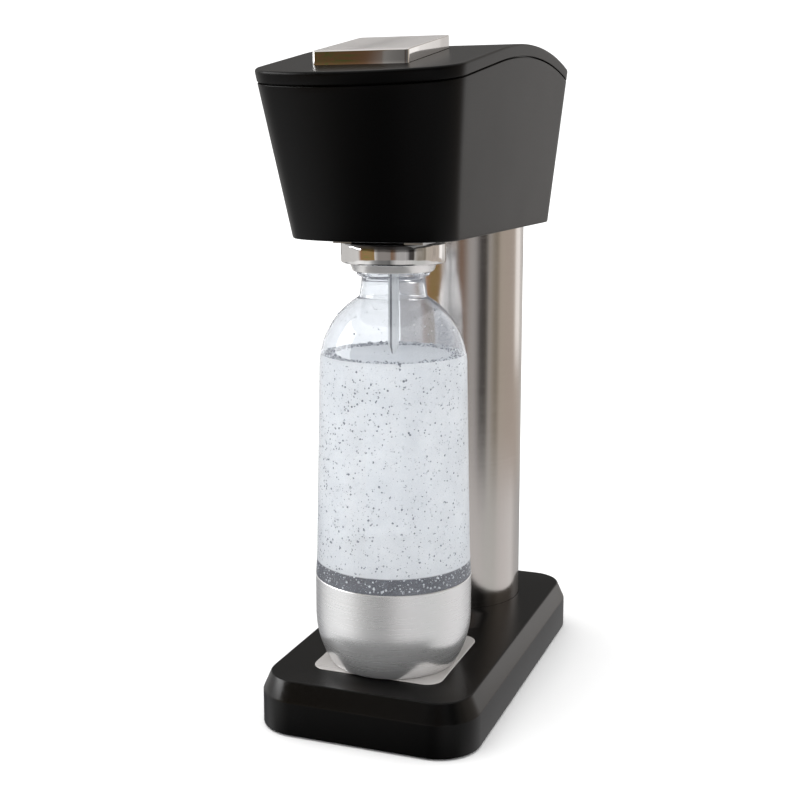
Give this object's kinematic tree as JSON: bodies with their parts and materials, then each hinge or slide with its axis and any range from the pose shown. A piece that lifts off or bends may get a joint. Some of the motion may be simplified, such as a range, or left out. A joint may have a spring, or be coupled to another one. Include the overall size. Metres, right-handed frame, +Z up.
{
  "type": "soda carbonator",
  "caption": "Countertop soda carbonator: domed head with a chrome press button over a screw-cap bottle, steel column housing a gas cylinder, and a flat base with a steel tray.",
  "frame": {"origin": "middle of the whole object's footprint, on the plane that the rubber feet stand on", "axes": "+Z up, +X to the right seen from the front, -Y out of the front"},
  "size_m": [0.126, 0.255, 0.3778],
  "materials": {
    "black_plastic": "satin moulded",
    "inner_plastic": "moulded",
    "rubber": "matt",
    "gasket": "matt silicone",
    "hose": "braided, matt",
    "screw_steel": "zinc plated",
    "spring_steel": "drawn wire",
    "plain_steel": "plain sheet",
    "tray_steel": "satin",
    "column_steel": "fine brushed, near polished",
    "cup_steel": "brushed round",
    "button_chrome": "polished sides, satin top",
    "collar_chrome": "polished",
    "cast_block": "bead blasted",
    "brass": "turned",
    "cylinder_paint": "satin",
    "tube_plastic": "gloss",
    "clear_bottle": "clear moulded plastic"
  },
  "bodies": {
    "machine": {"base_shell": "black_plastic", "base_plate": "black_plastic", "rubber_feet": "rubber", "base_screws": "screw_steel", "drip_tray": "tray_steel", "column_tube": "column_steel", "column_socket": "black_plastic", "socket_screws": "screw_steel", "head_housing": "black_plastic", "head_lid": "black_plastic", "head_floor": "black_plastic", "head_screws": "screw_steel", "head_frame": "plain_steel", "frame_screws": "screw_steel", "valve_block": "cast_block", "pin_spring": "spring_steel", "relief_valve": "brass", "lever_pin": "plain_steel", "button_guide": "inner_plastic", "button_spring": "spring_steel", "gas_hose": "hose", "hose_nuts": "brass", "gas_coupling": "brass", "coupling_seal": "rubber", "slide_rail": "plain_steel"},
    "bottle_unit": {"infuser_core": "inner_plastic", "bottle_gasket": "gasket", "nozzle_tube": "tube_plastic", "nozzle_tip": "inner_plastic", "bottle": "clear_bottle", "bottle_cup": "cup_steel"},
    "collar": {"collar_ring": "collar_chrome", "collar_skirt": "collar_chrome"},
    "button": {"push_button": "button_chrome", "button_carrier": "inner_plastic"},
    "lever": {"press_lever": "plain_steel"},
    "valve_plunger": {"valve_pin": "plain_steel"},
    "cylinder": {"gas_cylinder": "cylinder_paint", "cylinder_valve": "brass", "cylinder_seal": "rubber"},
    "cylinder_plunger": {"cylinder_pin": "plain_steel"},
    "hatch": {"cylinder_hatch": "black_plastic", "hatch_pad": "rubber"}
  },
  "joints": [
    {"name": "button_press", "type": "slide", "parent": "machine", "child": "button", "axis": [0, 0, -1], "range_m": [0, 0.006], "stiffness_N_per_m": 1500, "springref_m": -0.003, "deforming": ["button_spring"]},
    {"name": "lever_tilt", "type": "hinge", "parent": "machine", "child": "lever", "pos_m": [0, 0.1065, 0.3521], "axis": [1, 0, 0], "range_deg": [0, 2.05]},
    {"name": "valve_pin_slide", "type": "slide", "parent": "machine", "child": "valve_plunger", "axis": [0, 0, -1], "range_m": [0, 0.00118], "deforming": ["pin_spring"]},
    {"name": "cylinder_turn", "type": "hinge", "parent": "machine", "child": "cylinder", "pos_m": [0, 0.0738, 0], "axis": [0, 0, 1], "range_deg": [-1800, 0]},
    {"name": "cylinder_pin_slide", "type": "slide", "parent": "cylinder", "child": "cylinder_plunger", "axis": [0, 0, -1], "range_m": [0, 0.00118]},
    {"name": "hatch_turn", "type": "hinge", "parent": "machine", "child": "hatch", "pos_m": [0, 0.0738, 0], "axis": [0, 0, 1], "range_deg": [0, 60]},
    {"name": "bottle_slide", "type": "slide", "parent": "machine", "child": "bottle_unit", "axis": [0, -1, 0], "range_m": [0, 0.15]},
    {"name": "collar_turn", "type": "hinge", "parent": "bottle_unit", "child": "collar", "pos_m": [0, -0.0495, 0.26], "axis": [0, 0, 1], "range_deg": [0, 540]}
  ],
  "couplings": [
    {"joint": "lever_tilt", "follows": "button_press", "rad_per_m": 5.8258},
    {"joint": "valve_pin_slide", "follows": "button_press", "ratio": 0.1905},
    {"joint": "cylinder_pin_slide", "follows": "button_press", "ratio": 0.1905}
  ]
}
